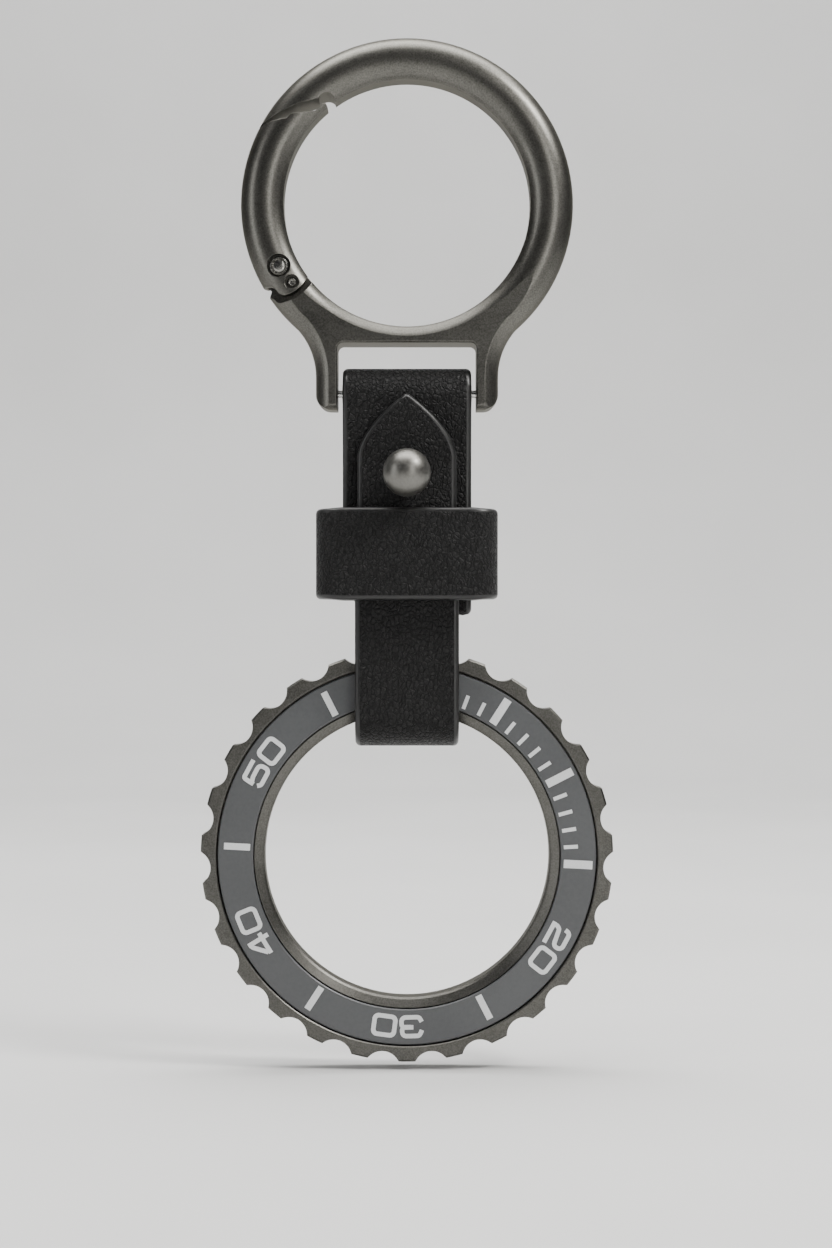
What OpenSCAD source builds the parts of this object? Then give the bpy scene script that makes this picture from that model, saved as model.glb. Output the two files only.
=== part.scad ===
// Key organiser: a spring-gate clip ring with a yoke, a folded leather strap on a spring bar,
// a button stud with a leather keeper, and a toothed dial ring hanging in the strap's fold.
// Millimetres. The origin is the centre of the clip ring, +Z is up and the front faces -Y.

/* [Clip ring] */
// Inner radius of the clip ring
ring_in_r = 12.3; // [11.8:0.1:12.8]
// Radius of the ring's round section
ring_tube_r = 2.3; // [2.2:0.05:2.4]
// Radial thickness of the ring, which leaves a flat land on its inside
ring_wall = 4.3; // [4.2:0.05:4.4]

/* [Yoke] */
// Clear width between the two legs
yoke_gap = 13.8; // [13.4:0.1:14.2]
// Width of each leg
leg_w = 2.2; // [2:0.1:2.4]
// Depth of the yoke, front to back
yoke_depth = 4.2; // [4:0.1:4.3]
// Height of the window's top edge
window_z = -14.0; // [-14.2:0.1:-13.8]
// Height of the spring bar's axis
bar_z = -18.95; // [-19.1:0.05:-18.8]
// Height of the legs' feet
leg_foot_z = -20.65; // [-21:0.05:-20.4]

/* [Gate] */
// How far the gate opens, in degrees
gate_travel = 25; // [20:1:25]
// Radius of the pivot pin
pivot_r = 0.75; // [0.7:0.01:0.8]
// Radius of the stop pin
stop_r = 0.45; // [0.4:0.01:0.5]

/* [Strap] */
// Thickness of the leather
leather_t = 1.6; // [1.5:0.05:1.65]
// Width of the strap at the spring bar
strap_wide = 12.8; // [12.4:0.1:13]
// Width of the strap at the dial ring and the tongue
strap_narrow = 10.3; // [10:0.1:10.6]
// Lowest point of the strap's fold
strap_bottom_z = -54.1; // [-54.2:0.05:-54]
// Height of the tongue's point
tongue_tip_z = -19.25; // [-19.6:0.05:-19]

/* [Stud and keeper] */
// Radius of the stud's ball
ball_r = 2.35; // [2.2:0.05:2.5]
// Height of the stud's axis
stud_z = -27.15; // [-27.3:0.05:-27]
// Height of the keeper's middle
keeper_z = -35.0; // [-35.1:0.05:-34.9]
// Height of the keeper, top to bottom
keeper_h = 9.1; // [8.8:0.1:9.2]
// Overall width of the keeper
keeper_w = 18.0; // [17.6:0.1:18.4]
// Thickness of the keeper's leather
keeper_t = 1.4; // [1.3:0.05:1.5]

/* [Dial ring] */
// Radius over the teeth
dial_tip_r = 20.5; // [20.3:0.1:20.6]
// Radius of the hole
dial_in_r = 14.2; // [14.1:0.1:14.3]
// Thickness of the ring
dial_t = 3.0; // [2.8:0.1:3]
// Height of the ring's centre
dial_z = -64.9; // [-65:0.05:-64.8]
// Number of teeth
teeth = 27; // [24:1:30]
// How far the scale is turned clockwise, in degrees
scale_turn = 3; // [0:1:6]

/* [Hidden] */
$fn = 64;

GUNMETAL = [0.36, 0.35, 0.32];
STEEL = [0.62, 0.62, 0.60];
LEATHER = [0.05, 0.05, 0.05];
SLATE = [0.33, 0.35, 0.37];
CHALK = [0.85, 0.86, 0.86];

// Clip ring
ring_out_r = ring_in_r + ring_wall;
tube_mid_r = ring_out_r - ring_tube_r;
through = 12;           // longer than any depth that is cut through

// Gate pivot and stop pin, in the front view
pivot = [-12.7, -6.4];
stop_offset = [1.3, -1.6];
stop_orbit = norm(stop_offset);
stop_angle = atan2(stop_offset.y, stop_offset.x);
tail_r = 3.0;           // round end of the gate
tail_curve = [[2.97, -80], [2.86, -85], [2.7, -90], [2.46, -95], [2.28, -99.5], [2.16, -104], [2.14, -108.5]];
socket_r = 3.6;         // hollow that the tail turns in
socket_curve = [[3.57, -90], [3.48, -93.5], [3.32, -97], [3.19, -100.5], [3.13, -104], [3.11, -107.5]];
tongue_front = -0.65;   // frame's tongue, front to back
tongue_back = 0.65;
tongue_lobe_r = 1.7;
slot_front = -0.75;     // slot in the gate, with room for the spring
slot_back = 1.45;
pin_clear = 0.05;
slot_end_a = 52;         // where the gate's slot ends on the ring's inner side
pivot_head_r = 0.95;
pivot_seat_r = 1.15;
pivot_seat_front = -1.55;
pivot_seat_back = 1.8;
stop_seat_r = 0.72;
stop_seat_front = -1.7;

// Split at the gate's nose, from the ring's outside to its inside
frame_nose = [
    [-15.7, 7.35], [-14.75, 7.65], [-13.3, 8.5], [-12.4, 8.95], [-11.5, 9.35], [-10.7, 9.7],
    [-9.6, 9.95], [-8.75, 10.2],
];
gate_nose = [
    [-15.7, 7.0], [-14.8, 7.45], [-13.5, 7.95], [-12.45, 8.1], [-11.85, 8.2], [-11.5, 8.6],
    [-10.6, 8.75], [-9.8, 8.85], [-9.1, 9.05], [-8.65, 9.35], [-8.4, 9.72], [-8.05, 9.78],
    [-7.75, 9.2],
];
notch_centre = [-7.95, 9.95];
notch_r = 0.82;

// Yoke
leg_out_x = yoke_gap / 2 + leg_w;
fairing_r = 7.2;
fairing_x = leg_out_x + fairing_r;
fairing_z = -sqrt(pow(ring_out_r - 0.05 + fairing_r, 2) - pow(fairing_x, 2));
leg_round = 1.7;
foot_round = 1.2;
flat_z = -11;
window_round = 0.6;

// Spring bar
bar_r = 0.9;
bar_half = 6.45;
bar_bore_r = 0.62;
bar_lip = 0.3;
tip_r = 0.4;
tip_end_x = 8.0;
tip_body_r = 0.58;
tip_body_in_x = 3.6;
tip_hole_r = 0.45;
tip_hole_x = 8.15;

// Strap: its middle line, in the side view, as [y, z]
half_t = leather_t / 2;
loop_in_r = 1.0;
loop_mid_r = loop_in_r + half_t;
layer_y = half_t + 0.05;                    // front and back layers lie side by side below the loop
pinch_z = -26.0;                            // they meet here
loop_lean = asin((loop_mid_r - layer_y) / (bar_z - pinch_z));
tongue_y = -(layer_y + leather_t + 0.05);
fold_mid_r = -tongue_y;
fold_z = strap_bottom_z + fold_mid_r + half_t;
wide_end_z = -41.15;
wide_cut_z = -38.6;
shoulder_z = [-38.0, -40.0];
sway_z = [-40.2, -45.2];                    // the back layer moves out here to pass behind the dial ring
tongue_full_z = -25.6;
stud_hole_r = 1.15;
flange_r = 2.5;
flange_t = 0.5;

// Stud
post_r = 1.1;
ball_y = tongue_y - half_t - 0.15 - ball_r;
stud_screw_r = 0.7;
screw_head_r = 2.4;

// Keeper
keeper_in_front = tongue_y - half_t - 0.15;
keeper_in_back = 2.1;
stitch_r = 0.14;

// Dial ring, where h is the height towards the front
half_d = dial_t / 2;
channel_r = [15.15, 18.95];
insert_gap = 0.14;
floor_h = 0.3;
glue_t = 0.1;
insert_top_h = 1.44;
mark_low_h = 1.3;
mark_top_h = 1.47;
valley_r = 1.8;
valley_depth = 0.95;
bar_r0 = 15.6;
digit_w = 2.45;
digit_h = 2.3;
digit_stroke = 0.44;
digit_base_r = 15.85;
digit_step = 4.6;
numbers = [[20, 2], [30, 3], [40, 4], [50, 5]];   // minute, and its first digit
small_bars = [25, 35, 45, 55];
large_bars = [5, 10, 15];
tick_minutes = [1, 2, 3, 4, 6, 7, 8, 9, 11, 12, 13, 14];

// ---------- helpers ----------

// A front-view drawing, given depth from y0 to y1.
module front(y0, y1) {
    rotate([90, 0, 0]) translate([0, 0, -y1]) linear_extrude(y1 - y0) children();
}

// A side-view drawing in [y, z], given width about the middle plane.
module side(width) {
    rotate([90, 0, 90]) translate([0, 0, -width / 2]) linear_extrude(width) children();
}

// A round rod along Y.
module rod_y(r, y0, y1) {
    rotate([90, 0, 0]) translate([0, 0, -y1]) cylinder(r = r, h = y1 - y0);
}

// A round rod along X.
module rod_x(r, x0, x1) {
    translate([x0, 0, 0]) rotate([0, 90, 0]) cylinder(r = r, h = x1 - x0);
}

module at(p) {
    translate([p.x, 0, p.y]) children();
}

function arc(centre, r, a0, a1, n) =
    [for (i = [0:n]) centre + r * [cos(a0 + (a1 - a0) * i / n), sin(a0 + (a1 - a0) * i / n)]];

// A pie slice about the origin, from angle a0 to a1.
module slice(r, a0, a1) {
    polygon(concat([[0, 0]], arc([0, 0], r, a0, a1, 40)));
}

module rounded_box(x0, y0, x1, y1, r) {
    translate([x0 + r, y0]) square([x1 - x0 - 2 * r, y1 - y0]);
    translate([x0, y0 + r]) square([x1 - x0, y1 - y0 - 2 * r]);
    for (x = [x0 + r, x1 - r], y = [y0 + r, y1 - r]) translate([x, y]) circle(r);
}

// A tube of radius r swept along points, as one closed polyhedron.
function unit(v) = v / norm(v);
function along(p, i) = unit(p[min(i + 1, len(p) - 1)] - p[max(i - 1, 0)]);
module sweep(points, r, up, sides = 8) {
    n = len(points);
    verts = [for (i = [0:n - 1]) let (t = along(points, i), a = unit(cross(t, up)), b = cross(a, t))
        for (k = [0:sides - 1]) points[i] + r * (cos(360 * k / sides) * a + sin(360 * k / sides) * b)];
    walls = [for (i = [0:n - 2], k = [0:sides - 1], h = [0, 1]) let (j = (k + 1) % sides)
        h == 0 ? [i * sides + k, i * sides + j, (i + 1) * sides + j]
            : [i * sides + k, (i + 1) * sides + j, (i + 1) * sides + k]];
    ends = [[for (k = [sides - 1:-1:0]) k], [for (k = [0:sides - 1]) (n - 1) * sides + k]];
    polyhedron(verts, concat(walls, ends), convexity = 6);
}

// ---------- clip ring ----------

module ring_band() {
    rotate([90, 0, 0]) rotate_extrude($fn = 128) intersection() {
        translate([tube_mid_r, 0]) circle(ring_tube_r);
        translate([ring_in_r, -ring_tube_r]) square([ring_wall, 2 * ring_tube_r]);
    }
}

// Points about the pivot from [radius, angle].
function around_pivot(list) = [for (p = list) pivot + p[0] * [cos(p[1]), sin(p[1])]];

// Front view of the part of the ring that belongs to the gate.
module gate_zone() {
    polygon(concat(gate_nose, [[-8, 4], [-8.6, -2]], arc(pivot, tail_r, 32, -76, 28),
        around_pivot(tail_curve), [pivot + [-1.2, -2.0], pivot + [-4, -2.05], [-18.5, 0]]));
}

// Front view of what is left open for the gate.
module gate_opening_zone() {
    polygon(concat(frame_nose, [[-7.5, 9.2], [-8, 4], [-8.4, -2]], arc(pivot, socket_r, 20, -87, 30),
        around_pivot(socket_curve), [pivot + [-1.3, -2.95], pivot + [-4, -2.9], [-18.5, 0]]));
    translate(notch_centre) circle(notch_r);
}

// How far the ring's surface has drawn in from its outside at depth y.
function inset(y) = ring_tube_r - sqrt(pow(ring_tube_r, 2) - pow(y, 2));

// The hollow beside each leg, flared so that the leg's edge is as round as the ring.
module hollow() {
    y1 = ring_tube_r * 0.96;
    rotate([90, 0, 0]) rotate_extrude($fn = 96) polygon(concat(
        [[0, -y1], for (i = [-9:9]) let (y = ring_tube_r * sin(8 * i)) [fairing_r + inset(y), y], [0, y1]]));
}

module yoke() {
    intersection() {
        translate([0, 0, leg_foot_z - 1]) linear_extrude(fairing_z - leg_foot_z + 1.4)
            rounded_box(-leg_out_x, -ring_tube_r, leg_out_x, ring_tube_r, ring_tube_r - 0.001);
        side(40) rounded_box(-ring_tube_r, leg_foot_z, ring_tube_r, -10, foot_round);
        front(-through, through) rounded_box(-leg_out_x, leg_foot_z, leg_out_x, -10, leg_round);
    }
    difference() {
        front(-ring_tube_r * 0.945, ring_tube_r * 0.945)
            polygon([[0, 0], [-fairing_x, fairing_z], [fairing_x, fairing_z]]);
        for (s = [-1, 1]) translate([s * fairing_x, 0, fairing_z]) hollow();
        rod_y(tube_mid_r - 0.3, -through, through);
    }
}

// Side view of everything inside the yoke's two flat faces, which run out gently up the ring.
module flats() {
    side(60) polygon([[-yoke_depth / 2, -30], [yoke_depth / 2, -30], [yoke_depth / 2, flat_z],
        [yoke_depth / 2 + 0.6, flat_z + 11], [yoke_depth / 2 + 0.6, 30], [-yoke_depth / 2 - 0.6, 30],
        [-yoke_depth / 2 - 0.6, flat_z + 11], [-yoke_depth / 2, flat_z]]);
}

module window() {
    front(-through, through)
        rounded_box(-yoke_gap / 2, leg_foot_z - 4, yoke_gap / 2, window_z, window_round);
}

// A small bevel round the window's edges, front and back.
module window_bevel(e = 0.15) {
    face = yoke_depth / 2;
    edge_x = yoke_gap / 2;
    wedge = [[-0.1, -e - 0.1], [-0.1, 0.3], [e + 0.3, 0.3]];
    for (s = [-1, 1]) mirror([0, s < 0 ? 1 : 0, 0]) {
        for (t = [-1, 1]) mirror([t < 0 ? 1 : 0, 0, 0]) {
            translate([edge_x, face, leg_foot_z - 1]) linear_extrude(window_z - window_round - leg_foot_z + 1)
                polygon(wedge);
            translate([edge_x - window_round, face - e - 0.1, window_z - window_round]) rotate([-90, 0, 0])
                cylinder(r1 = window_round - 0.1, r2 = window_round + e + 0.3, h = e + 0.4);
        }
        translate([window_round - edge_x, face, window_z]) rotate([90, 0, 90])
            linear_extrude(2 * (edge_x - window_round)) polygon([for (p = wedge) [p.y, p.x]]);
    }
}

// The flat tongue that the gate turns on, with its curved slot for the stop pin.
module frame_tongue() {
    difference() {
        intersection() {
            at(pivot) front(tongue_front, tongue_back) {
                circle(tongue_lobe_r);
                slice(4.3, -108, -20);
            }
            ring_band();
        }
        at(pivot) {
            rod_y(pivot_r, -through, through);
            front(-through, through) intersection() {
                difference() {
                    circle(stop_orbit + stop_r + pin_clear);
                    circle(stop_orbit - stop_r - pin_clear);
                }
                slice(4, stop_angle - gate_travel, stop_angle);
            }
            for (a = [0, gate_travel]) rotate([0, a, 0]) at(stop_offset)
                rod_y(stop_r + pin_clear, -through, through);
        }
    }
}

module clip_frame() {
    color(GUNMETAL) difference() {
        union() {
            difference() {
                intersection() {
                    union() {
                        ring_band();
                        yoke();
                    }
                    flats();
                }
                window();
                window_bevel();
                front(-through, through) gate_opening_zone();
            }
            frame_tongue();
        }
        translate([0, 0, bar_z]) rod_x(tip_hole_r, -tip_hole_x, tip_hole_x);
    }
}

module gate() {
    color(GUNMETAL) difference() {
        intersection() {
            ring_band();
            front(-through, through) gate_zone();
        }
        at(pivot) {
            front(slot_front, slot_back) {
                circle(tongue_lobe_r + 0.15);
                slice(5, -120, slot_end_a);
            }
            rod_y(pivot_r + pin_clear, -through, through);
            rod_y(pivot_seat_r, -through, pivot_seat_front);
            rod_y(pivot_seat_r, pivot_seat_back, through);
            at(stop_offset) {
                rod_y(stop_r, -through, through);
                rod_y(stop_seat_r, -through, stop_seat_front);
            }
        }
    }
}

// A rivet's head with a rounded rim, a groove and a low dome, standing h above y = 0 towards the front.
module rivet_head(r, h) {
    rotate([90, 0, 0]) rotate_extrude() polygon([
        [0, 0], [r, 0], [r, h * 0.68], [r * 0.96, h * 0.87], [r * 0.89, h], [r * 0.80, h],
        [r * 0.74, h * 0.78], [r * 0.70, h * 0.70], [r * 0.60, h * 0.85], [r * 0.45, h * 0.96],
        [r * 0.24, h * 1.03], [0, h * 1.06],
    ]);
}

module gate_pivot_pin() {
    color(STEEL) at(pivot) {
        rod_y(pivot_r, pivot_seat_front, pivot_seat_back);
        translate([0, pivot_seat_front, 0]) rivet_head(pivot_head_r, 0.48);
        rod_y(pivot_head_r, pivot_seat_back, pivot_seat_back + 0.3);
    }
}

module gate_stop_pin() {
    color(STEEL) at(pivot + stop_offset) difference() {
        rod_y(stop_r, -2.0, 2.05);
        rotate([90, 0, 0]) rotate_extrude() polygon([
            [stop_r + 0.1, 1.85], [stop_r + 0.1, 2.2], [stop_r - 0.07, 2.1], [stop_r - 0.07, 2.0],
            [stop_r, 1.91],
        ]);
        rotate([90, 0, 0]) rotate_extrude() polygon([
            [0, 1.86], [0.13, 1.84], [0.24, 1.86], [0.33, 2.1], [0, 2.1],
        ]);
    }
}

// Torsion spring: one leg hooks the tongue's inner edge, the other bears on the stop pin.
module gate_spring() {
    wire_r = 0.1;
    coil_r = 0.98;
    pitch = 0.215;
    hook_a = -16.5;
    pin_leg_a = stop_angle - 16.4;
    sweep_a = 720 + hook_a - pin_leg_a;
    steps = 34;
    first_y = tongue_back + 0.07 + wire_r;
    coil = [for (i = [0:steps]) let (a = pin_leg_a + sweep_a * i / steps)
        [coil_r * cos(a), first_y + pitch * sweep_a / 360 * i / steps, coil_r * sin(a)]];
    pin_leg = [for (r = [2.6:-0.4:1.4]) [r * cos(pin_leg_a), first_y, r * sin(pin_leg_a)]];
    last_y = coil[steps].y;
    hook = [for (p = [[1.45, last_y], [1.85, last_y], [1.97, last_y - 0.15], [1.97, 0.6], [1.97, -0.4]])
        [p[0] * cos(hook_a), p[1], p[0] * sin(hook_a)]];
    color(STEEL) at(pivot) sweep(concat(pin_leg, coil, hook), wire_r, [0.05, 1, 0.08]);
}

// ---------- spring bar ----------

module spring_bar_tube() {
    color(STEEL) translate([0, 0, bar_z]) difference() {
        rod_x(bar_r, -bar_half, bar_half);
        rod_x(bar_bore_r, -bar_half + bar_lip, bar_half - bar_lip);
        rod_x(tip_r + 0.05, -through, through);
    }
}

module spring_bar_tip(s) {
    color(STEEL) translate([0, 0, bar_z]) scale([1, 1, 1]) mirror([s < 0 ? 1 : 0, 0, 0]) {
        rod_x(tip_body_r, tip_body_in_x, bar_half - bar_lip - 0.03);
        rod_x(tip_r, bar_half - bar_lip - 0.03, tip_end_x);
    }
}

module spring_bar_coil() {
    wire_r = 0.1;
    turns = 12;
    per_turn = 12;
    half_len = tip_body_in_x - wire_r - 0.02;
    points = [for (i = [0:turns * per_turn]) let (a = 360 * i / per_turn)
        [-half_len + 2 * half_len * i / (turns * per_turn), 0.44 * cos(a), 0.44 * sin(a)]];
    color(STEEL) translate([0, 0, bar_z]) sweep(points, wire_r, [1, 0, 0]);
}

// ---------- strap ----------

// Outline of a layer of leather that follows a middle line.
function offset_line(p, d) = [for (i = [0:len(p) - 1]) let (t = along(p, i)) p[i] + d * [-t.y, t.x]];
module leather(line, width) {
    side(width) polygon(concat(offset_line(line, half_t),
        [for (i = [len(line) - 1:-1:0]) offset_line(line, -half_t)[i]]));
}

wide_line = concat(
    [[-layer_y, wide_end_z], [-layer_y, stud_z], [-layer_y, pinch_z - 0.6]],
    arc([0, bar_z], loop_mid_r, 180 + loop_lean, -loop_lean, 40),
    [[layer_y, pinch_z - 0.6], [layer_y, stud_z], [layer_y, shoulder_z[0]]]);

narrow_line = concat(
    [[layer_y, shoulder_z[0]]],
    [for (i = [0:16]) [layer_y + (fold_mid_r - layer_y) * (1 - cos(180 * i / 16)) / 2,
        sway_z[0] + (sway_z[1] - sway_z[0]) * i / 16]],
    arc([0, fold_z], fold_mid_r, 0, -180, 32),
    [[tongue_y, pinch_z - 0.6], [tongue_y - 0.02, pinch_z],
     [tongue_y + tan(loop_lean) * (pinch_z - tongue_tip_z), tongue_tip_z]]);

// Front view of the tongue's pointed end, which is cut away outside this outline.
module tongue_zone() {
    half = strap_narrow / 2 - 0.25;
    side_r = 14;
    polygon(concat(
        [[-half, -60], [half, -60]],
        [for (i = [0:12]) let (s = i / 12) [half * (1 - pow(s, 1.7)) + 0.55 * s * (1 - s),
            tongue_full_z + (tongue_tip_z - tongue_full_z) * s]],
        [for (i = [12:-1:0]) let (s = i / 12) [-half * (1 - pow(s, 1.7)) - 0.55 * s * (1 - s),
            tongue_full_z + (tongue_tip_z - tongue_full_z) * s]]));
}

// Front view of the hidden front end of the wide part: square on the right, cut back on the left.
module wide_end_cut() {
    polygon([[-8, wide_cut_z], [5.6, wide_end_z + 0.1], [6.0, wide_end_z + 0.3], [6.25, wide_end_z + 0.7],
        [8, wide_end_z + 0.7], [8, wide_end_z - 2], [-8, wide_end_z - 2]]);
}

module strap() {
    color(LEATHER) difference() {
        union() {
            difference() {
                leather(wide_line, strap_wide);
                front(-3, 0) wide_end_cut();
            }
            intersection() {
                leather(narrow_line, strap_narrow);
                union() {
                    front(-through, through) tongue_zone();
                    front(0, through) translate([-8, -60]) square([16, 30]);
                    front(-through, through) translate([-8, -60]) square([16, 60 + keeper_z]);
                }
            }
            front(layer_y - half_t, layer_y + half_t) polygon([
                [-strap_wide / 2, shoulder_z[0]], [-strap_narrow / 2, shoulder_z[1]],
                [strap_narrow / 2, shoulder_z[1]], [strap_wide / 2, shoulder_z[0]]]);
        }
        translate([0, 0, stud_z]) {
            rod_y(stud_hole_r, -through, through);
            rod_y(flange_r + 0.05, -layer_y - half_t - 0.1, -layer_y - half_t + flange_t);
            rod_y(screw_head_r + 0.05, layer_y + half_t, layer_y + half_t + 2);
        }
    }
}

// ---------- stud ----------

module stud_head() {
    flange_y = -layer_y - half_t;
    color(STEEL) translate([0, 0, stud_z]) difference() {
        union() {
            translate([0, ball_y, 0]) sphere(ball_r, $fn = 64);
            rod_y(post_r, ball_y, layer_y + half_t - 0.1);
            rod_y(flange_r, flange_y, flange_y + flange_t);
        }
        rod_y(stud_screw_r, flange_y - 1.2, through);
    }
}

module stud_screw() {
    head_y = layer_y + half_t;
    head_t = 0.7;
    color(STEEL) translate([0, 0, stud_z]) difference() {
        union() {
            rod_y(stud_screw_r, -layer_y - half_t - 0.9, head_y);
            rod_y(screw_head_r, head_y, head_y + head_t);
        }
        translate([-through, head_y + head_t - 0.35, -0.3]) cube([2 * through, 1, 0.6]);
    }
}

// ---------- keeper ----------

module keeper() {
    half = keeper_w / 2;
    color(LEATHER) translate([0, 0, keeper_z - keeper_h / 2]) linear_extrude(keeper_h) difference() {
        rounded_box(-half, keeper_in_front - keeper_t, half, keeper_in_back + keeper_t, 2.3);
        rounded_box(-half + keeper_t, keeper_in_front, half - keeper_t, keeper_in_back, 0.9);
    }
}

// Two rows of thread across the keeper's seam, lying on its back face.
module keeper_stitches() {
    back_y = keeper_in_back + keeper_t;
    color(LEATHER) for (x = [-1.6, 1.6], k = [-2:2]) intersection() {
        translate([x, back_y, keeper_z + 1.6 * k - 0.55]) cylinder(r = stitch_r, h = 1.1, $fn = 24);
        translate([x - 1, back_y, keeper_z - 6]) cube([2, 1, 12]);
    }
}

// ---------- dial ring ----------

// A solid turned about the dial's axis from a half section in [r, h].
module turned(points) {
    translate([0, 0, dial_z]) rotate([90, 0, 0]) rotate_extrude($fn = 128) polygon(points);
}

// A front-view drawing on the dial, with depth from height h0 to h1 towards the front.
module on_dial(h0, h1) {
    translate([0, 0, dial_z]) front(-h1, -h0) children();
}

// Places a drawing whose +Y points outwards at a minute of the scale.
module at_minute(m) {
    rotate(-6 * m - scale_turn) children();
}

module dial_ring() {
    step = 360 / teeth;
    centre_r = dial_tip_r - valley_depth + valley_r;
    color(GUNMETAL) difference() {
        turned([
            [dial_in_r, -half_d + 0.3], [dial_in_r + 0.3, -half_d],
            [dial_tip_r - 0.4, -half_d], [dial_tip_r, -half_d + 0.4],
            [dial_tip_r, half_d - 0.2], [dial_tip_r - 0.2, half_d],
            [channel_r[1] + 0.12, half_d], [channel_r[1], half_d - 0.12],
            [channel_r[1], floor_h], [channel_r[0], floor_h],
            [channel_r[0], half_d - 0.2], [dial_in_r + 0.2, half_d - 0.65], [dial_in_r, half_d - 0.85],
        ]);
        on_dial(-through, through) for (i = [0:teeth - 1])
            rotate(-90 + step * (i + 0.5)) translate([centre_r, 0]) circle(valley_r);
    }
}

module dial_insert() {
    r0 = channel_r[0] + insert_gap;
    r1 = channel_r[1] - insert_gap;
    h0 = floor_h + glue_t;
    color(SLATE) difference() {
        turned([[r0, h0], [r1, h0], [r1, insert_top_h - 0.1], [r1 - 0.1, insert_top_h],
            [r0 + 0.1, insert_top_h], [r0, insert_top_h - 0.1]]);
        on_dial(mark_low_h, half_d + 1) {
            five_minute_zone();
            tick_zone();
            numeral_zone();
            zero_zone();
        }
    }
}

module insert_adhesive() {
    color("gray") turned([[channel_r[0] + 0.3, floor_h], [channel_r[1] - 0.3, floor_h],
        [channel_r[1] - 0.3, floor_h + glue_t], [channel_r[0] + 0.3, floor_h + glue_t]]);
}

module radial_bar(r0, length, width) {
    translate([-width / 2, r0]) square([width, length]);
}

module five_minute_zone() {
    for (m = large_bars) at_minute(m) radial_bar(bar_r0, 2.85, 0.82);
    for (m = small_bars) at_minute(m) radial_bar(bar_r0, 2.6, 0.66);
}

module tick_zone() {
    for (m = tick_minutes) at_minute(m) radial_bar(bar_r0, 1.4, 0.38);
}

module zero_zone() {
    at_minute(0) polygon([[0, bar_r0 + 0.2], [1.4, bar_r0 + 2.7], [-1.4, bar_r0 + 2.7]]);
}

// An arc of radius p[2] in place of the corner at p, between its neighbours a and b.
function turned_by(v, a) = [v.x * cos(a) - v.y * sin(a), v.x * sin(a) + v.y * cos(a)];
function corner(a, p, b, n = 6) = let (
    q = [p.x, p.y], u = unit([a.x, a.y] - q), v = unit([b.x, b.y] - q), half = acos(u * v) / 2,
    reach = p[2] / tan(half), centre = q + unit(u + v) * p[2] / sin(half),
    from = q + u * reach - centre, to = q + v * reach - centre,
    side = from.x * to.y - from.y * to.x > 0 ? 1 : -1)
    [for (i = [0:n]) centre + turned_by(from, side * (180 - 2 * half) * i / n)];

// A line of even width through points [x, y, corner radius], with square ends.
module stroke(p) {
    m = len(p) - 1;
    middle = [for (i = [1:1:m - 1]) each corner(p[i - 1], p[i], p[i + 1])];
    line = concat([[p[0].x, p[0].y]], middle, [[p[m].x, p[m].y]]);
    polygon(concat(offset_line(line, digit_stroke / 2),
        [for (i = [len(line) - 1:-1:0]) offset_line(line, -digit_stroke / 2)[i]]));
}

// Digits in a plain rounded square style, as middle lines in a box one unit wide and high.
two = [
    [[0.02, 0.70, 0], [0.06, 1, 0.40], [1, 1, 0.42], [0.98, 0.53, 0.42], [0.10, 0.38, 0.40],
        [0.01, 0.20, 0.4], [0.01, 0, 0]],
    [[-0.11, 0, 0], [1.05, 0, 0]],
];
three = [
    [[0, 0.70, 0], [0.13, 1, 0.35], [0.98, 1, 0.42], [0.98, 0.535, 0.30], [0.42, 0.535, 0]],
    [[0.55, 0.52, 0], [1, 0.52, 0.30], [1, 0, 0.42], [0.13, 0, 0.35], [0, 0.25, 0]],
];
four = [
    [[0.79, -0.11, 0], [0.79, 1.11, 0]],
    [[0.85, 0.97, 0], [0.64, 0.97, 0.4], [0.02, 0.36, 0]],
    [[-0.08, 0.26, 0], [1.07, 0.26, 0]],
];
five = [
    [[1.05, 1, 0], [0.04, 1, 0.25], [0, 0.385, 0]],
    [[0.02, 0.51, 0], [0.30, 0.59, 0.4], [0.98, 0.60, 0.42], [0.98, 0, 0.42], [0.13, 0, 0.35],
        [0.01, 0.17, 0]],
];

function digit_lines(d) = d == 2 ? two : d == 3 ? three : d == 4 ? four : five;

module digit(d) {
    w = digit_w - digit_stroke;
    h = digit_h - digit_stroke;
    translate([-w / 2, digit_base_r + digit_stroke / 2])
        for (line = digit_lines(d)) stroke([for (p = line) [p.x * w, p.y * h, p[2]]]);
}

module nought() {
    half = digit_w / 2 + 0.03;
    difference() {
        rounded_box(-half, digit_base_r, half, digit_base_r + digit_h, 0.62);
        rounded_box(-half + digit_stroke, digit_base_r + digit_stroke, half - digit_stroke,
            digit_base_r + digit_h - digit_stroke, 0.22);
    }
}

module numeral_zone() {
    for (n = numbers) at_minute(n[0]) {
        rotate(digit_step) digit(n[1]);
        rotate(-digit_step) nought();
    }
}

module five_minute_bars() {
    color(CHALK) on_dial(mark_low_h, mark_top_h) five_minute_zone();
}

module minute_ticks() {
    color(CHALK) on_dial(mark_low_h, mark_top_h) tick_zone();
}

module numerals() {
    color(CHALK) on_dial(mark_low_h, mark_top_h) numeral_zone();
}

module zero_marker() {
    color(CHALK) on_dial(mark_low_h, mark_top_h) zero_zone();
}

clip_frame();
gate();
gate_pivot_pin();
gate_stop_pin();
gate_spring();
spring_bar_tube();
spring_bar_tip(-1);  // spring_bar_tip_left
spring_bar_tip(1);  // spring_bar_tip_right
spring_bar_coil();
strap();
stud_head();
stud_screw();
keeper();
keeper_stitches();
dial_ring();
dial_insert();
insert_adhesive();
five_minute_bars();
minute_ticks();
numerals();
zero_marker();
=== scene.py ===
"""Looks for the key organiser: camera, light, materials, and the leather strap and keeper around the CAD frame."""

import math

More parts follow.
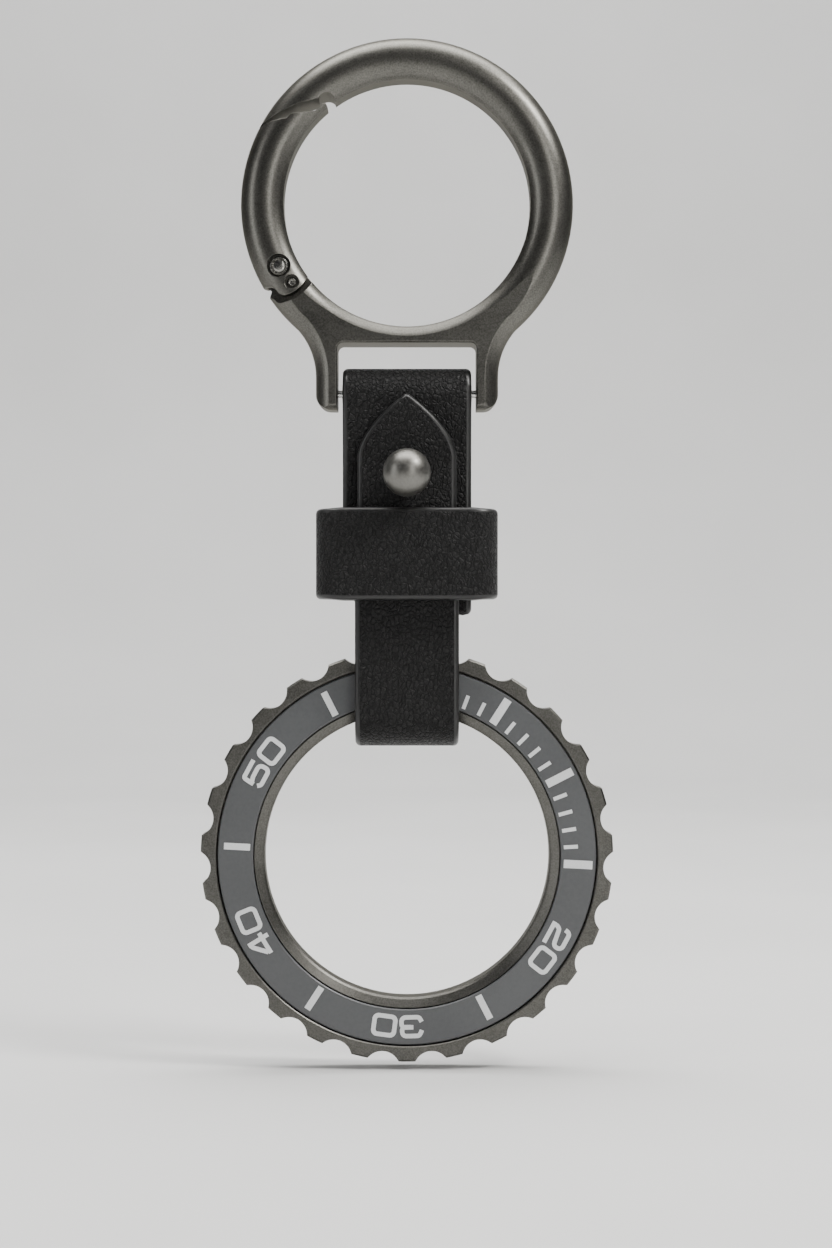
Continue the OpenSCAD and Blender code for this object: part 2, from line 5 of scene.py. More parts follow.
import bmesh
import bpy
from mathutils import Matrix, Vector


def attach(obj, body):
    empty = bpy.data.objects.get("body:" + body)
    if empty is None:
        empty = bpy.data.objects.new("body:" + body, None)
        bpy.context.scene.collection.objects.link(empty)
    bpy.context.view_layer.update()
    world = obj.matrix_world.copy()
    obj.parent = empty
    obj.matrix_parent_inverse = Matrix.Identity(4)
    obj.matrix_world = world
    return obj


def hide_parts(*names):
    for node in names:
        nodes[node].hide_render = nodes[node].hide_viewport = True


MM = 0.001

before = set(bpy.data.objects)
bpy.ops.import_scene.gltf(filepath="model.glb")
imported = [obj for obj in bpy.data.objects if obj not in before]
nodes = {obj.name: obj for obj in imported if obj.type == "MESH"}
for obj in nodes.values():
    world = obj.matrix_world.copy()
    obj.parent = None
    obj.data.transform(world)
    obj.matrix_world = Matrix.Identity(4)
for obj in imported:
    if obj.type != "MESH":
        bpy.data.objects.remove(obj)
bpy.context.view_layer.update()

# ---------------------------------------------------------------- camera

CAM_X = 0.9 * MM
CAM_Z = -41.9 * MM
CAM_DISTANCE = 215 * MM
FRAME_HEIGHT = 124.8 * MM
SENSOR = 36.0

camera = bpy.data.cameras.new("camera")
camera.sensor_fit = "VERTICAL"
camera.sensor_height = SENSOR
camera.lens = SENSOR * CAM_DISTANCE / FRAME_HEIGHT
camera.clip_start = 0.005
camera.clip_end = 20
camera_object = bpy.data.objects.new("camera", camera)
bpy.context.scene.collection.objects.link(camera_object)
camera_object.location = (CAM_X, -CAM_DISTANCE, CAM_Z)
camera_object.rotation_euler = (math.radians(90), 0, 0)
bpy.context.scene.camera = camera_object


# ---------------------------------------------------------------- materials

class Graph:
    """A material's node tree, built by short calls."""

    def __init__(self, name):
        self.material = bpy.data.materials.new(name)
        self.material.use_nodes = True
        self.tree = self.material.node_tree
        self.tree.nodes.clear()
        self.shader = self.add("ShaderNodeBsdfPrincipled")
        output = self.add("ShaderNodeOutputMaterial")
        self.link(self.shader.outputs["BSDF"], output.inputs["Surface"])
        self.place = self.add("ShaderNodeTexCoord").outputs["Object"]

    def add(self, kind, **settings):
        node = self.tree.nodes.new(kind)
        for key, value in settings.items():
            setattr(node, key, value)
        return node

    def link(self, out, into):
        self.tree.links.new(out, into)

    def set(self, **values):
        for key, value in values.items():
            self.shader.inputs[key.replace("_", " ")].default_value = value

    def stretched(self, x, y, z):
        node = self.add("ShaderNodeMapping")
        node.inputs["Scale"].default_value = (x, y, z)
        self.link(self.place, node.inputs["Vector"])
        return node.outputs["Vector"]

    def noise(self, per_mm, detail=2.0, rough=0.5, at=None):
        node = self.add("ShaderNodeTexNoise")
        node.inputs["Scale"].default_value = per_mm / MM
        node.inputs["Detail"].default_value = detail
        node.inputs["Roughness"].default_value = rough
        self.link(at or self.place, node.inputs["Vector"])
        return node.outputs["Fac"]

    def cell_edges(self, per_mm, at):
        """Distance to the nearest edge between random cells."""
        node = self.add("ShaderNodeTexVoronoi", feature="DISTANCE_TO_EDGE")
        node.inputs["Scale"].default_value = per_mm / MM
        self.link(at, node.inputs["Vector"])
        return node.outputs["Distance"]

    def ramp(self, value, stops):
        node = self.add("ShaderNodeValToRGB")
        ramp = node.color_ramp
        while len(ramp.elements) < len(stops):
            ramp.elements.new(0.5)
        for element, (position, colour) in zip(ramp.elements, stops):
            element.position = position
            element.color = (*colour, 1)
        self.link(value, node.inputs["Fac"])
        return node.outputs["Color"]

    def spread(self, value, low, high, from_low=0.3, from_high=0.7):
        node = self.add("ShaderNodeMapRange")
        for key, number in zip(("From Min", "From Max", "To Min", "To Max"), (from_low, from_high, low, high)):
            node.inputs[key].default_value = number
        self.link(value, node.inputs["Value"])
        return node.outputs["Result"]

    def math(self, operation, a, b=0.0):
        node = self.add("ShaderNodeMath", operation=operation)
        for socket, value in zip(node.inputs, (a, b)):
            if isinstance(value, (int, float)):
                socket.default_value = value
            else:
                self.link(value, socket)
        return node.outputs[0]

    def bump(self, height, depth_mm, under=None):
        node = self.add("ShaderNodeBump")
        node.inputs["Strength"].default_value = 1.0
        node.inputs["Distance"].default_value = depth_mm * MM
        self.link(height, node.inputs["Height"])
        if under is not None:
            self.link(under, node.inputs["Normal"])
        return node.outputs["Normal"]

    def soft_edges(self, radius_mm):
        node = self.add("ShaderNodeBevel", samples=6)
        node.inputs["Radius"].default_value = radius_mm * MM
        return node.outputs["Normal"]


EDGE_TINT = (0.55, 0.54, 0.51, 1)      # what the blasted metals reflect at a glancing angle


def blasted_metal(name, dark, light, rough, grain_mm=0.004, edge=0.09):
    """Bead-blasted metal: a fine even grain, faint clouding, and edges worn a little brighter by their rounding."""
    g = Graph(name)
    g.set(Metallic=1.0, Specular_Tint=EDGE_TINT)
    clouds = g.noise(0.22, 3, 0.55)
    speckle = g.noise(6.5, 2, 0.7)
    mixed = g.math("ADD", g.math("MULTIPLY", clouds, 0.25), g.math("MULTIPLY", speckle, 0.75))
    g.link(g.ramp(mixed, [(0.36, dark), (0.64, light)]), g.shader.inputs["Base Color"])
    g.link(g.spread(mixed, rough - 0.05, rough + 0.05), g.shader.inputs["Roughness"])
    fine = g.bump(g.noise(8.5, 3, 0.65), grain_mm, g.soft_edges(edge))
    coarse = g.bump(g.noise(3.4, 2, 0.5), grain_mm * 0.7, fine)
    g.link(coarse, g.shader.inputs["Normal"])
    return g.material


def satin_metal(name, dark, light, rough, stretch=(1, 1, 1), grain_mm=0.0015, edge=0.05):
    """Turned or drawn metal: fine lines along one direction."""
    g = Graph(name)
    g.set(Metallic=1.0)
    lines = g.noise(4.0, 3, 0.6, at=g.stretched(*stretch))
    g.link(g.ramp(lines, [(0.35, dark), (0.65, light)]), g.shader.inputs["Base Color"])
    g.link(g.spread(lines, rough - 0.05, rough + 0.07), g.shader.inputs["Roughness"])
    g.link(g.bump(lines, grain_mm, g.soft_edges(edge)), g.shader.inputs["Normal"])
    return g.material


def black_leather(name):
    """Full-grain black leather: small pebbles split by wavy creases, over a slow swell, with duller creases. Its
    colour carries painted light: a painted highlight on the pebble tops and painted shade in the creases, and it is
    darker where the slow swell sinks.
    """
    g = Graph(name)
    warp = g.add("ShaderNodeTexNoise")
    warp.inputs["Scale"].default_value = 0.9 / MM
    warp.inputs["Detail"].default_value = 2.0
    g.link(g.place, warp.inputs["Vector"])
    centred = g.add("ShaderNodeVectorMath", operation="SUBTRACT")
    g.link(warp.outputs["Color"], centred.inputs[0])
    centred.inputs[1].default_value = (0.5, 0.5, 0.5)
    scaled = g.add("ShaderNodeVectorMath", operation="SCALE")
    g.link(centred.outputs[0], scaled.inputs[0])
    scaled.inputs["Scale"].default_value = 0.55 * MM
    moved = g.add("ShaderNodeVectorMath", operation="ADD")
    g.link(g.stretched(1.0, 1.0, 0.72), moved.inputs[0])
    g.link(scaled.outputs[0], moved.inputs[1])
    at = moved.outputs[0]
    crease = g.spread(g.cell_edges(2.3, at), 0.0, 1.0, 0.0, 0.20)
    fine = g.spread(g.cell_edges(5.4, at), 0.0, 1.0, 0.0, 0.26)
    swell = g.noise(0.5, 2, 0.5)
    pores = g.noise(9.0, 2, 0.6)
    # Colour pattern with painted light: pebble tops light as a painted highlight, creases dark as painted shade; the
    # slow swell darkens its low parts.
    grain = g.math("MULTIPLY", crease, g.spread(fine, 0.55, 1.0, 0.0, 1.0))
    tone = g.math("MULTIPLY", grain, g.spread(swell, 0.75, 1.0))
    # Near-black ramp: darkest for the painted shade in the creases, lightest for the painted highlight on the pebble
    # tops.
    blacks = [(0.0, (0.0012, 0.0012, 0.0013)), (0.6, (0.0065, 0.0064, 0.0065)), (1.0, (0.0150, 0.0148, 0.0148))]
    g.link(g.ramp(tone, blacks), g.shader.inputs["Base Color"])
    dull = g.math("ADD", g.math("MULTIPLY", crease, -0.5), pores)
    g.link(g.spread(dull, 0.40, 0.62, -0.2, 0.5), g.shader.inputs["Roughness"])
    g.set(Specular_IOR_Level=0.22, Coat_Weight=0.0, Sheen_Weight=0.02, Sheen_Roughness=0.5)
    b = g.bump(swell, 0.05)
    for height, depth_mm in ((crease, 0.10), (fine, 0.030), (pores, 0.003)):
        b = g.bump(height, depth_mm, b)
    g.link(b, g.shader.inputs["Normal"])
    return g.material


def edge_paint(name):
    """The burnished, painted edge of cut leather: smoother than the face, with faint ripples."""
    g = Graph(name)
    ripple = g.noise(1.1, 3, 0.6)
    blacks = [(0.3, (0.005, 0.005, 0.005)), (0.7, (0.009, 0.0089, 0.0088))]
    g.link(g.ramp(ripple, blacks), g.shader.inputs["Base Color"])
    g.link(g.spread(ripple, 0.34, 0.46), g.shader.inputs["Roughness"])
    g.set(Specular_IOR_Level=0.5)
    g.link(g.bump(g.noise(4.0, 3, 0.6), 0.01, g.bump(ripple, 0.03)), g.shader.inputs["Normal"])
    return g.material


def matt_surface(name, dark, light, rough, per_mm, grain_mm, edge=0.04, coat=0.0):
    """Enamel, ceramic or tape: a faint mottle and a slow drift of tone, with a thin coat where it has one."""
    g = Graph(name)
    mottle = g.noise(per_mm, 3, 0.6)
    slow = g.noise(0.12, 2, 0.5)
    mixed = g.math("ADD", g.math("MULTIPLY", mottle, 0.5), g.math("MULTIPLY", slow, 0.5))
    g.link(g.ramp(mixed, [(0.35, dark), (0.65, light)]), g.shader.inputs["Base Color"])
    g.link(g.spread(mottle, rough - 0.04, rough + 0.05), g.shader.inputs["Roughness"])
    g.set(Coat_Weight=coat, Coat_Roughness=0.3)
    grain = g.noise(per_mm * 2.5, 2, 0.6)
    g.link(g.bump(grain, grain_mm, g.soft_edges(edge)), g.shader.inputs["Normal"])
    return g.material


GUNMETAL = blasted_metal("gunmetal", (0.088, 0.086, 0.078), (0.156, 0.152, 0.138), 0.37)
DIAL_STEEL = blasted_metal("dial_steel", (0.078, 0.076, 0.069), (0.138, 0.135, 0.124), 0.38, 0.005, 0.07)
PIN_STEEL = satin_metal("pin_steel", (0.26, 0.254, 0.235), (0.34, 0.334, 0.312), 0.24, (1, 1, 1), 0.0008, 0.03)
STUD_STEEL = satin_metal("stud_steel", (0.155, 0.152, 0.140), (0.185, 0.181, 0.168), 0.40, (1, 1, 1), 0.0005, 0.06)
BAR_STEEL = satin_metal("bar_steel", (0.55, 0.55, 0.54), (0.74, 0.74, 0.73), 0.22, (0.3, 1.5, 1.5))
SPRING_STEEL = satin_metal("spring_steel", (0.35, 0.35, 0.34), (0.52, 0.52, 0.51), 0.3)
LEATHER = black_leather("leather")
LEATHER_EDGE = edge_paint("leather_edge")
INSERT = matt_surface("insert_ceramic", (0.060, 0.062, 0.065), (0.074, 0.077, 0.080), 0.38, 3.0, 0.0012, 0.05, 0.1)
MARKING = matt_surface("marking", (0.62, 0.635, 0.64), (0.72, 0.73, 0.735), 0.5, 6.0, 0.003, 0.02)
ADHESIVE = matt_surface("adhesive", (0.45, 0.45, 0.42), (0.6, 0.6, 0.57), 0.8, 2.0, 0.01)

NODE_MATERIALS = {
    "clip_frame": GUNMETAL, "gate": GUNMETAL,
    "gate_pivot_pin": PIN_STEEL, "gate_stop_pin": PIN_STEEL,
    "gate_spring": SPRING_STEEL, "spring_bar_coil": SPRING_STEEL,
    "spring_bar_tube": BAR_STEEL, "spring_bar_tip_left": BAR_STEEL, "spring_bar_tip_right": BAR_STEEL,
    "stud_head": STUD_STEEL, "stud_screw": STUD_STEEL,
    "dial_ring": DIAL_STEEL, "dial_insert": INSERT, "insert_adhesive": ADHESIVE,
    "five_minute_bars": MARKING, "minute_ticks": MARKING, "numerals": MARKING, "zero_marker": MARKING,
}
for node_name, material in NODE_MATERIALS.items():
    for material_slot in nodes[node_name].material_slots:
        material_slot.material = material

# ---------------------------------------------------------------- leather

# The strap's middle line in the side view, in millimetres, as it is in CAD.
LEATHER_T = 1.6
HALF_T = LEATHER_T / 2
BAR_Z = -18.95
GAP = 0.05                                   # between two layers that lie together
LOOP_R = 1.0 + HALF_T
LAYER_Y = HALF_T + GAP
PINCH_Z = -26.0
LEAN = math.asin((LOOP_R - LAYER_Y) / (BAR_Z - PINCH_Z))
TONGUE_Y = -(LAYER_Y + LEATHER_T + GAP)
FOLD_R = -TONGUE_Y
FOLD_Z = -54.1 + FOLD_R + HALF_T
WIDE_END_Z = -41.15
PINCHED = 0.6                                # the layers are straight from this far below the pinch
SHOULDER_Z = (-38.0, -40.0)                  # where the back layer narrows
SWAY_Z = (-40.2, -45.2)                      # where the back layer leaves the front one
TONGUE_FULL_Z = -25.6
TONGUE_START_Z = -38.0                       # where the front layer starts to narrow to the tongue's width
TONGUE_TAPER = 6.0                           # and over what height
TIP_Z = -19.25
WIDE_HALF = 6.4
NARROW_HALF = 5.15
TONGUE_HALF = 4.9
STATION = 0.33                               # between two sections of the strap
TONGUE_STATION = 0.16                        # the same over the last FINE_LENGTH of the tongue
FINE_LENGTH = 7.0
FINEST_LENGTH = 1.0                          # a third of that over this length
SWAY_STEPS = 24
ARC_STEPS = 48
ACROSS, AROUND = 22, 5                       # steps along a section's face and round each of its edges


def arc(cy, cz, r, a0, a1, steps):
    """Points [y, z] on a circle, angles in radians."""
    return [(cy + r * math.cos(a0 + (a1 - a0) * i / steps), cz + r * math.sin(a0 + (a1 - a0) * i / steps))
            for i in range(steps + 1)]


def strap_line():
    """The strap's middle line as [y, z]: wide end, loop over the bar, back layer, fold round the ring, tongue."""
    line = [(-LAYER_Y, WIDE_END_Z), (-LAYER_Y, PINCH_Z - PINCHED)]
    line += arc(0, BAR_Z, LOOP_R, math.pi + LEAN, -LEAN, ARC_STEPS)
    line += [(LAYER_Y, PINCH_Z - PINCHED), (LAYER_Y, SWAY_Z[0])]
    line += [(LAYER_Y + (FOLD_R - LAYER_Y) * (1 - math.cos(math.pi * i / SWAY_STEPS)) / 2,
              SWAY_Z[0] + (SWAY_Z[1] - SWAY_Z[0]) * i / SWAY_STEPS) for i in range(1, SWAY_STEPS + 1)]
    line += arc(0, FOLD_Z, FOLD_R, 0, -math.pi, ARC_STEPS)
    line += [(TONGUE_Y, PINCH_Z - PINCHED), (TONGUE_Y - 0.02, PINCH_Z)]
    line += [(TONGUE_Y + math.tan(LEAN) * (PINCH_Z - TIP_Z), TIP_Z)]
    return line


def resample(line, step, end_step=None):
    """Evenly spaced points along a line, which an end_step makes finer towards the end."""
    lengths = [0.0]
    for a, b in zip(line, line[1:]):
        lengths.append(lengths[-1] + math.dist(a, b))
    total = lengths[-1]
    marks, s = [], 0.0
    while s < total - 1e-6:
        marks.append(s)
        if end_step is None or s < total - FINE_LENGTH:
            s += step
        else:
            s += end_step if s < total - FINEST_LENGTH else end_step / 3
    marks.append(total)
    out, k = [], 0
    for s in marks:
        while k < len(lengths) - 2 and lengths[k + 1] < s:
            k += 1
        t = (s - lengths[k]) / max(lengths[k + 1] - lengths[k], 1e-9)
        out.append(tuple(p + (q - p) * t for p, q in zip(line[k], line[k + 1])))
    return out


def smooth_line(points, passes):
    """The same line with its corners eased and its ends in place."""
    for _ in range(passes):
        middle = [tuple((a + 2 * b + c) / 4 for a, b, c in zip(*three))
                  for three in zip(points, points[1:], points[2:])]
        points = [points[0]] + middle + [points[-1]]
    return points


def rounded_section(half_w, half_t, corner):
    """Closed section of a strip in [u, v], u across and v through, with rounded edges. Starts at the front face."""
    corner = min(corner, half_w * 0.98, half_t * 0.98)
    flat, side = half_w - corner, half_t - corner
    quarter = math.pi / 2
    points = [(-flat + 2 * flat * i / ACROSS, half_t) for i in range(ACROSS + 1)]
    for i in range(1, AROUND + 1):
        a = quarter * (1 - i / AROUND)
        points.append((flat + corner * math.cos(a), side + corner * math.sin(a)))
    for i in range(1, AROUND + 1):
        a = -quarter * i / AROUND
        points.append((flat + corner * math.cos(a), -side + corner * math.sin(a)))
    for i in range(1, ACROSS + 1):
        points.append((flat - 2 * flat * i / ACROSS, -half_t))
    for i in range(1, AROUND + 1):
        a = -quarter - quarter * i / AROUND
        points.append((-flat + corner * math.cos(a), -side + corner * math.sin(a)))
    for i in range(1, AROUND):
        a = math.pi - quarter * i / AROUND
        points.append((-flat + corner * math.cos(a), side + corner * math.sin(a)))
    return points


def finished_mesh(name, bm):
    """A mesh from a bmesh, with its faces turned outwards."""
    bmesh.ops.recalc_face_normals(bm, faces=bm.faces)
    mesh = bpy.data.meshes.new(name)
    bm.to_mesh(mesh)
    bm.free()
    return mesh


def placed(name, mesh, *materials):
    """A new object in the scene."""
    for material in materials:
        mesh.materials.append(material)
    piece = bpy.data.objects.new(name, mesh)
    bpy.context.scene.collection.objects.link(piece)
    return piece


def tube_mesh(name, rings):
    """A closed strip from rings of points: grain on its two faces, edge paint on its edges and ends."""
    bm = bmesh.new()
    rows = [[bm.verts.new(Vector(p) * MM) for p in ring] for ring in rings]
    n = len(rings[0])
    for a, b in zip(rows, rows[1:]):
        for k in range(n):
            j = (k + 1) % n
            face = bm.faces.new((a[k], a[j], b[j], b[k]))
            face.material_index = 0 if on_face(k) else 1
            face.smooth = True
    for row in (rows[0][::-1], rows[-1]):
        cap = bm.faces.new(row)
        cap.material_index = 1
        cap.smooth = True
    return placed(name, finished_mesh(name, bm), LEATHER, LEATHER_EDGE)


def circle(around):
    """Angles of evenly spaced points round a circle, in radians."""
    return [2 * math.pi * k / around for k in range(around)]


def round_rod(bm, rows, smooth):
    """Adds a closed rod to a bmesh from rows of points, each row a circle of the same count."""
    rows = [[bm.verts.new(Vector(point) * MM) for point in row] for row in rows]
    n = len(rows[0])
    for a, b in zip(rows, rows[1:]):
        for k in range(n):
            bm.faces.new((a[k], a[(k + 1) % n], b[(k + 1) % n], b[k])).smooth = smooth
    bm.faces.new(rows[0][::-1])
    bm.faces.new(rows[-1])


STUD_Z = -27.15
# Steps of the room for the stud, from front to back: distance along the stud and radius.
STUD_SEAT = [(-4.2, 1.2), (-1.75, 1.2), (-1.75, 2.55), (-1.15, 2.55),
             (-1.15, 1.15), (1.62, 1.15), (1.62, 2.45), (2.6, 2.45)]


def stud_seat():
    """What the stud's neck, its flange and its screw's head take out of the leather."""
    bm = bmesh.new()
    rows = [[(r * math.cos(a), y, STUD_Z + r * math.sin(a)) for a in circle(48)] for y, r in STUD_SEAT]
    round_rod(bm, rows, False)
    return finished_mesh("stud_seat", bm)


def cut_away(piece, cutter_mesh):
    """Cuts a closed mesh out of a piece, for good."""
    cutter = placed("cutter", cutter_mesh)
    cut = piece.modifiers.new("cut", "BOOLEAN")
    cut.operation, cut.solver, cut.object = "DIFFERENCE", "EXACT", cutter
    evaluated = piece.evaluated_get(bpy.context.evaluated_depsgraph_get())
    mesh = bpy.data.meshes.new_from_object(evaluated)
    piece.modifiers.clear()
    piece.data = mesh
    bpy.data.objects.remove(cutter)
    mesh.set_sharp_from_angle(angle=math.radians(50))


def ease(t):
    """A smooth step from 0 to 1."""
    t = min(max(t, 0.0), 1.0)
    return t * t * (3 - 2 * t)


def on_face(k):
    """Whether column k of a rounded section lies on one of its two broad faces."""
    back = ACROSS + 2 * AROUND
    return k < ACROSS or back <= k < back + ACROSS


def outward(line, i):
    """Unit normal of a line at point i, on the left of its direction."""
    a, b = line[max(i - 1, 0)], line[min(i + 1, len(line) - 1)]
    dx, dy = b[0] - a[0], b[1] - a[1]
    size = math.hypot(dx, dy)
    return -dy / size, dx / size


POINT_R = 0.7                                # round tip of the tongue
POINT_BLEND = 0.57                           # where that round takes over, above its centre
APEX_Z = TIP_Z + 0.16                        # where the tongue's sides would meet without it
SIDE_POWER = 1.7
SIDE_SWELL = 0.55
LEAST_HALF = 0.05


def tongue_half(z):
    """Half width of the tongue where it narrows to its rounded point."""
    centre = TIP_Z - POINT_R
    if z > centre + POINT_BLEND:
        return max(math.sqrt(max(POINT_R ** 2 - (z - centre) ** 2, 0.0)), LEAST_HALF)
    s = (z - TONGUE_FULL_Z) / (APEX_Z - TONGUE_FULL_Z)
    return TONGUE_HALF * (1 - s ** SIDE_POWER) + SIDE_SWELL * s * (1 - s)


def strap_half(i, z, turn, low):
    """Half the strap's width at a station: wide round the bar, narrow down the back, the tongue up the front."""
    if i <= turn:
        return WIDE_HALF
    if i < low:
        t = ease((SHOULDER_Z[0] - z) / (SHOULDER_Z[0] - SHOULDER_Z[1]))
        return WIDE_HALF + (NARROW_HALF - WIDE_HALF) * t
    if i > low and z > TONGUE_FULL_Z:
        return tongue_half(z)
    return NARROW_HALF + (TONGUE_HALF - NARROW_HALF) * ease((z - TONGUE_START_Z) / TONGUE_TAPER)


CUT_FROM_Z = -37.0                           # the slant is taken up between here and the end
CUT_LEFT_X, CUT_LEFT_Z = -8.0, -38.6
CUT_WIDTH, CUT_DROP = 13.6, 2.45
CORNER_X, CORNER_WIDTH, CORNER_RISE = 5.5, 0.92, 0.9


def slanted(u, z):
    """Where a point near the wide end goes, so that the end is cut at a slant with a round right corner."""
    end = CUT_LEFT_Z - (u - CUT_LEFT_X) / CUT_WIDTH * CUT_DROP
    if u > CORNER_X:
        end += CORNER_RISE * (1 - math.sqrt(max(0.0, 1 - ((u - CORNER_X) / CORNER_WIDTH) ** 2)))
    return end + (z - WIDE_END_Z) * (CUT_FROM_Z - end) / (CUT_FROM_Z - WIDE_END_Z)


EDGE_R = 0.5


def build_strap():
    line = smooth_line(resample(strap_line(), STATION, TONGUE_STATION), 3)
    total = len(line)
    travelled = [0.0]
    for a, b in zip(line, line[1:]):
        travelled.append(travelled[-1] + math.dist(a, b))
    turn = max(range(total), key=lambda i: line[i][1])          # highest station, over the bar
    low = min(range(total), key=lambda i: line[i][1])           # lowest station, in the fold
    rings = []
    for i, (y, z) in enumerate(line):
        ny, nz = outward(line, i)
        half, thick = strap_half(i, z, turn, low), HALF_T
        from_cut = min(travelled[i], travelled[-1] - travelled[i])
        if from_cut < EDGE_R:                                   # the end's own rounded edge
            thick = HALF_T - EDGE_R + math.sqrt(max(EDGE_R ** 2 - (EDGE_R - from_cut) ** 2, 0.0))
        ring = [(u, y + ny * v, z + nz * v) for u, v in rounded_section(half, thick, EDGE_R)]
        if i < turn and z < CUT_FROM_Z:
            ring = [(u, py, slanted(u, pz)) for u, py, pz in ring]
        rings.append(ring)
    piece = tube_mesh("strap_leather", rings)
    cut_away(piece, stud_seat())
    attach(piece, "strap")
    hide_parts("strap")


KEEPER_HALF_W = 9.0
KEEPER_T = 1.4
KEEPER_H = 9.1
KEEPER_Z = -35.0
KEEPER_FRONT = TONGUE_Y - HALF_T - 0.15 - KEEPER_T
KEEPER_BACK = 2.1 + KEEPER_T
KEEPER_CORNER = 2.3
KEEPER_EDGE_R = 0.45
KEEPER_DRAW_IN = 0.10                        # how much lower the loop is round its bends
KEEPER_BEND_X = (6.2, 1.6)                   # where that starts, and over what width
KEEPER_BOW = 0.05                            # how far the front bulges
KEEPER_BOW_HALF = 7.5
SEAM_HALF = 0.04                             # half the gap between the loop's two ends
SEAM_THIN = (0.8, 0.95)                      # the ends' thickness, as a share of the rest


def keeper_line():
    """The loop's middle line as [x, y], from the seam at the back round the front and back to it."""
    r = KEEPER_CORNER - KEEPER_T / 2
    x = KEEPER_HALF_W - KEEPER_T / 2
    y0, y1 = KEEPER_FRONT + KEEPER_T / 2, KEEPER_BACK - KEEPER_T / 2
    line = [(SEAM_HALF, y1)]
    for cx, cy, a in ((x - r, y1 - r, 90), (x - r, y0 + r, 0), (-x + r, y0 + r, -90), (-x + r, y1 - r, -180)):
        line += [(cx + r * math.cos(math.radians(a - 7.5 * i)), cy + r * math.sin(math.radians(a - 7.5 * i)))
                 for i in range(13)]
    line.append((-SEAM_HALF, y1))
    return smooth_line(resample(line, 0.3), 3)


def keeper_bow(x, y, u):
    """How far a point of the keeper stands proud of a flat face."""
    if abs(x) >= KEEPER_BOW_HALF:
        return 0.0
    front = ease((0.0 - y) / 3.0)
    return KEEPER_BOW * front * (1 - (x / KEEPER_BOW_HALF) ** 2) * (1 - (2 * u / KEEPER_H) ** 2)


def build_keeper():
    """A leather loop, sewn shut at the middle of its back."""
    line = keeper_line()
    rings = []
    for i, (x, y) in enumerate(line):
        nx, ny = outward(line, i)
        from_end = min(i, len(line) - 1 - i)
        thick = KEEPER_T / 2 * (SEAM_THIN[from_end] if from_end < len(SEAM_THIN) else 1.0)
        bend = ease((abs(x) - KEEPER_BEND_X[0]) / KEEPER_BEND_X[1])
        ring = []
        for u, v in rounded_section(KEEPER_H / 2 - KEEPER_DRAW_IN * bend, thick, KEEPER_EDGE_R):
            side = v + keeper_bow(x, y, u) * (1 if v > 0 else 0.4)
            ring.append((x + nx * side, y + ny * side, KEEPER_Z + u))
        rings.append(ring)
    piece = tube_mesh("keeper_leather", rings)
    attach(piece, "keeper")
    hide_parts("keeper")


STITCH_X = 1.6
STITCH_STEP = 1.6
STITCH_LENGTH = 1.04
STITCH_SLANT = 0.10
STITCH_R = 0.13
STITCH_SUNK = 0.16                           # how deep its ends lie in the leather
STITCH_STEPS = 12


def stitch_rows(x, zc):
    """One plump stitch as rows of points, thinner and deeper at its ends and lightly twisted."""
    rows = []
    for i in range(STITCH_STEPS + 1):
        t = i / STITCH_STEPS
        lift = math.sin(math.pi * t)
        cx = x + STITCH_SLANT * (t - 0.5)
        y = KEEPER_BACK - STITCH_SUNK + STITCH_SUNK * lift ** 0.5
        z = zc - STITCH_LENGTH / 2 + STITCH_LENGTH * t
        r = STITCH_R * (0.75 + 0.25 * lift)
        rows.append([(cx + r * (1 + 0.10 * math.sin(3 * a + 9 * t)) * math.cos(a), y + r * 0.8 * math.sin(a), z)
                     for a in circle(STITCH_STEPS)])
    return rows


def build_stitches():
    """Slanted thread stitches beside the keeper's seam, each a short plump loop with its ends sunk in the leather."""
    g = Graph("waxed_thread")
    twist = g.noise(7.0, 2, 0.5, at=g.stretched(1.0, 1.0, 0.3))
    blacks = [(0.3, (0.012, 0.012, 0.012)), (0.7, (0.035, 0.034, 0.033))]
    g.link(g.ramp(twist, blacks), g.shader.inputs["Base Color"])
    g.link(g.bump(twist, 0.02), g.shader.inputs["Normal"])
    g.set(Roughness=0.55)
    bm = bmesh.new()
    for x in (-STITCH_X, STITCH_X):
        for k in range(-2, 3):
            round_rod(bm, stitch_rows(x, KEEPER_Z + STITCH_STEP * k), True)
    piece = placed("keeper_thread", finished_mesh("keeper_thread", bm), g.material)
    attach(piece, "keeper")
    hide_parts("keeper_stitches")


build_strap()
build_keeper()
build_stitches()

# ---------------------------------------------------------------- floor and light

FLOOR_Z = -86.2 * MM
g = Graph("studio_paper")
greys = [(0.3, (0.60, 0.60, 0.595)), (0.7, (0.63, 0.63, 0.625))]
g.link(g.ramp(g.noise(0.02, 2, 0.5), greys), g.shader.inputs["Base Color"])
g.set(Roughness=0.85, Specular_IOR_Level=0.2)
STUDIO = g.material


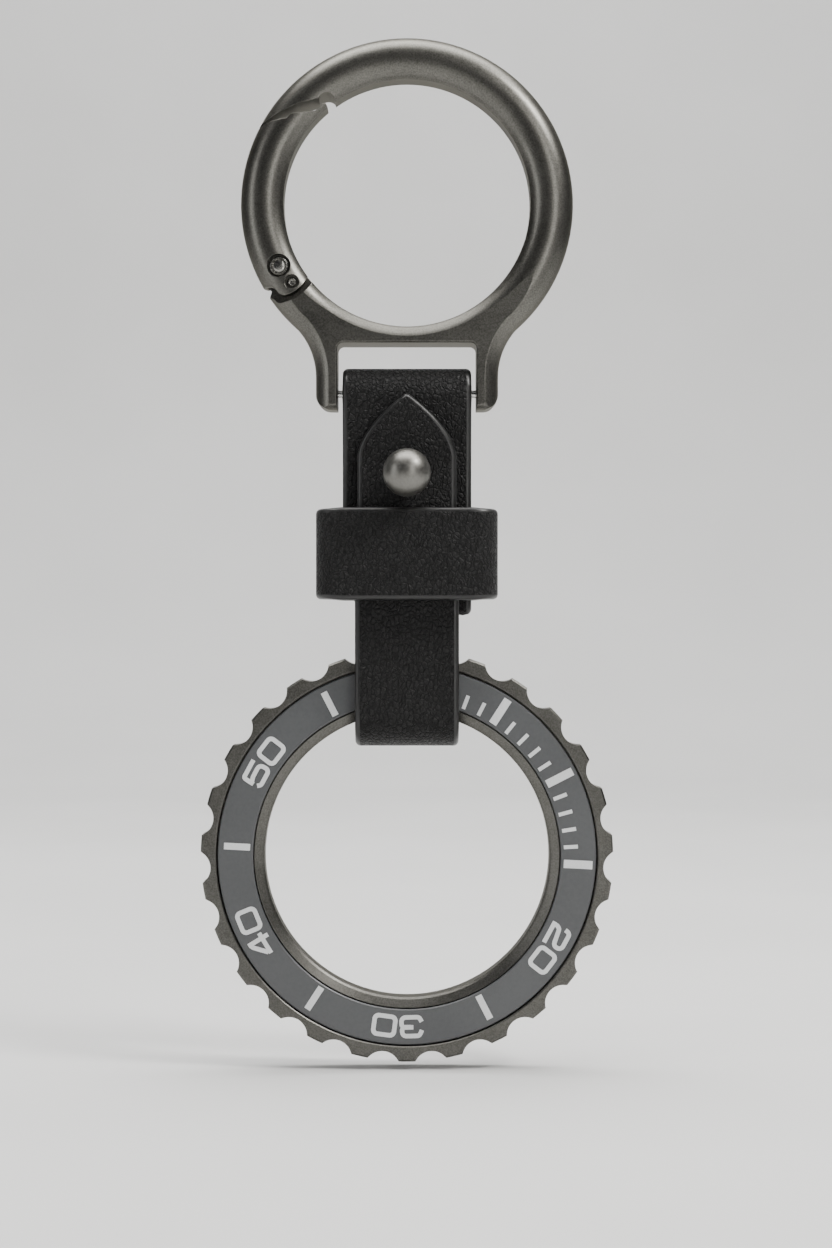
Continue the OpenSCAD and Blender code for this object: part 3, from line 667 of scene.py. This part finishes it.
def build_backdrop():
    """A sheet of paper that runs along the floor and curves up behind."""
    depth, radius, height, half_width, front = 0.34, 0.16, 0.75, 1.3, -1.2
    profile = [(front, 0.0), (depth, 0.0)]
    profile += [(depth + radius * math.sin(math.radians(a)), radius * (1 - math.cos(math.radians(a))))
                for a in range(10, 91, 10)]
    profile.append((depth + radius, height))
    mesh = bpy.data.meshes.new("backdrop")
    verts = [(x, y, FLOOR_Z + z) for y, z in profile for x in (-half_width, half_width)]
    faces = [(2 * i, 2 * i + 1, 2 * i + 3, 2 * i + 2) for i in range(len(profile) - 1)]
    mesh.from_pydata(verts, [], faces)
    for polygon in mesh.polygons:
        polygon.use_smooth = True
    placed("backdrop", mesh, STUDIO)


def area_light(name, at, towards, width, height, power, colour=(1, 1, 1)):
    """A rectangular light that faces a point."""
    light = bpy.data.lights.new(name, "AREA")
    light.shape = "RECTANGLE"
    light.size, light.size_y, light.energy, light.color = width, height, power, colour
    lamp = bpy.data.objects.new(name, light)
    bpy.context.scene.collection.objects.link(lamp)
    lamp.location = at
    lamp.rotation_euler = (Vector(towards) - Vector(at)).to_track_quat("-Z", "Y").to_euler()


build_backdrop()
MIDDLE = (0.0, 0.0, -0.035)
WARM = (1.0, 0.985, 0.96)
area_light("overhead", (0.0, 0.02, 0.42), (0.0, 0.03, 0.0), 0.50, 0.34, 3.0, WARM)
area_light("front_strip", (0.17, -0.33, 0.03), MIDDLE, 0.045, 0.36, 0.50, WARM)
area_light("high_spot", (0.20, -0.10, 0.21), (0.0, 0.0, -0.02), 0.075, 0.075, 0.95, WARM)
area_light("left_strip", (-0.34, -0.17, 0.02), MIDDLE, 0.05, 0.36, 0.40)
area_light("backdrop_light", (0.0, 0.10, 0.62), (0.0, 0.50, 0.05), 0.8, 0.3, 4.5)

sky = bpy.data.lights.new("sky", "SUN")
sky.energy, sky.angle = 1.0, math.radians(60)
bpy.context.scene.collection.objects.link(bpy.data.objects.new("sky", sky))    # straight down

world = bpy.data.worlds.new("studio")
world.use_nodes = True
background = world.node_tree.nodes["Background"]
background.inputs["Color"].default_value = (0.9, 0.93, 1.0, 1)
background.inputs["Strength"].default_value = 0.06
bpy.context.scene.world = world
